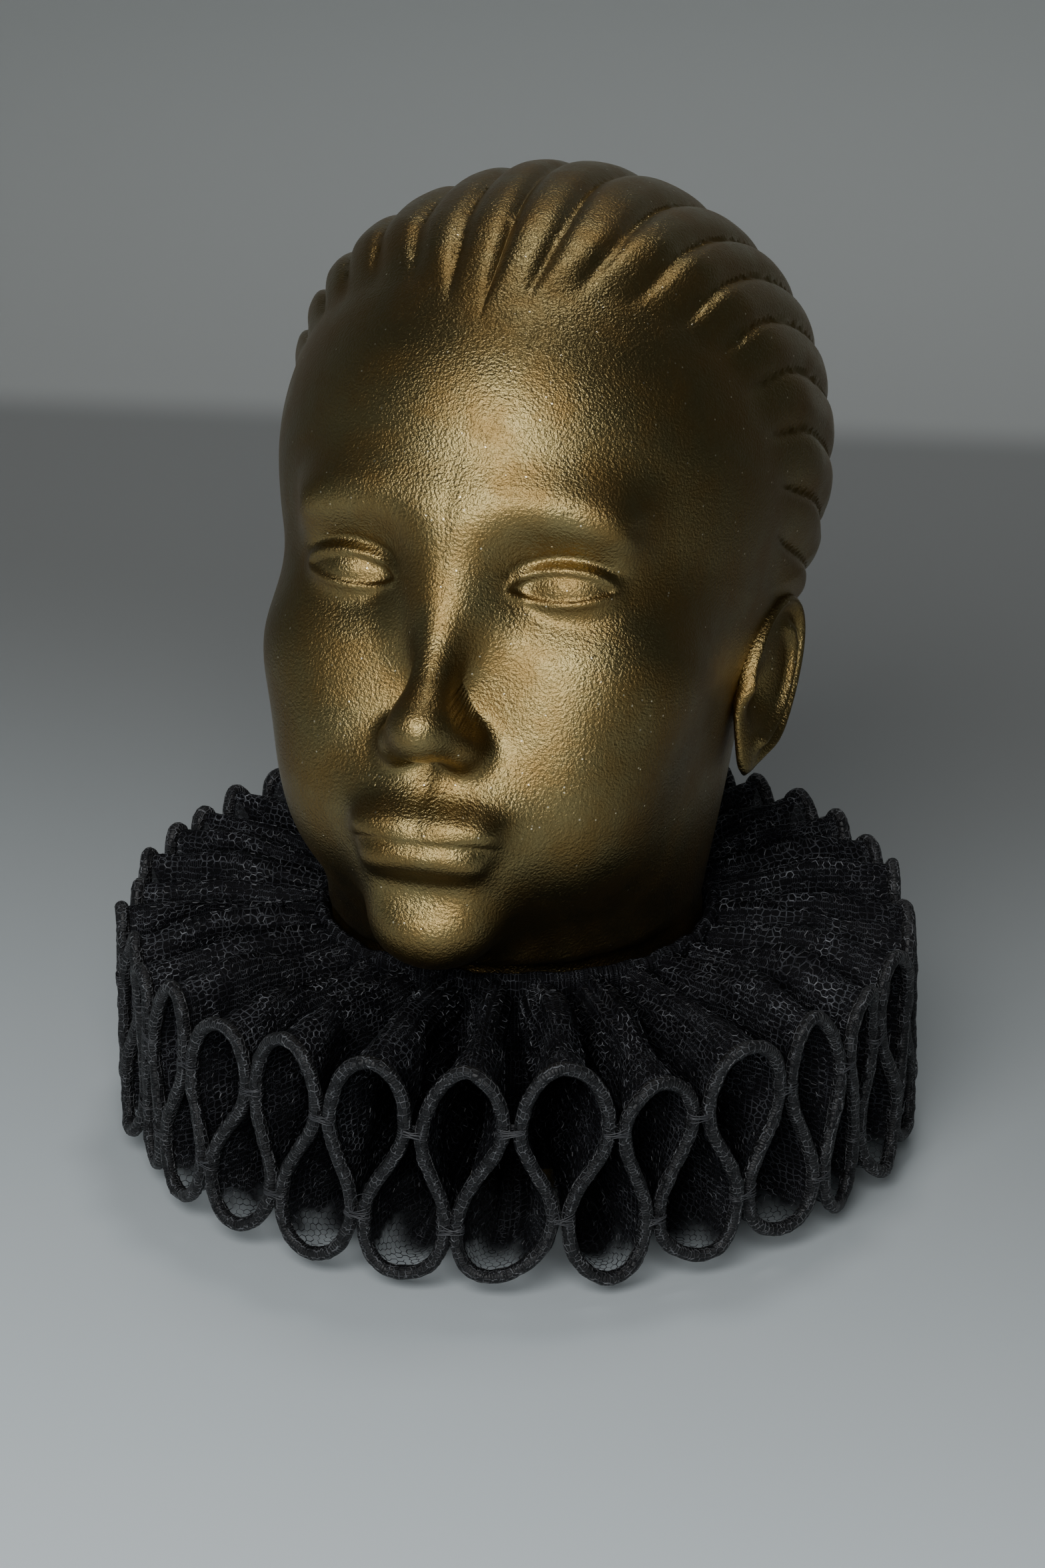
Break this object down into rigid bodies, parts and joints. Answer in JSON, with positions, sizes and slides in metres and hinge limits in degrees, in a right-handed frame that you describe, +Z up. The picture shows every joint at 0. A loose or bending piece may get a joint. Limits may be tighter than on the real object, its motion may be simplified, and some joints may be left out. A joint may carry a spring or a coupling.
{
  "type": "ruff collar on a display head",
  "caption": "Black net ruff collar in figure-of-eight pleats with a corded edge, worn round the neck of a smooth gold display head that stands on its own flat base.",
  "frame": {"origin": "centre of the display head's flat base, on the surface it stands on", "axes": "+Z up along the neck's axis, -Y the ruff's front, opposite its opening, +X toward the wearer's left; the head is turned 11 degrees toward +X and tilted back 17 degrees"},
  "size_m": [0.2438, 0.2591, 0.2917],
  "materials": {
    "gold_paint": "satin metallic gold paint with a fine orange-peel grain",
    "black_net": "open hexagonal net with a dull sheen",
    "black_cord": "net rolled and stitched over a soft cord",
    "black_band": "plain woven tape"
  },
  "bodies": {
    "root": {"display_head": "gold_paint", "neckband": "black_band", "back_placket": "black_band", "edge_cord": "black_cord", "lace_length_1": "black_net", "lace_length_2": "black_net", "lace_length_3": "black_net", "lace_length_4": "black_net"}
  },
  "joints": []
}
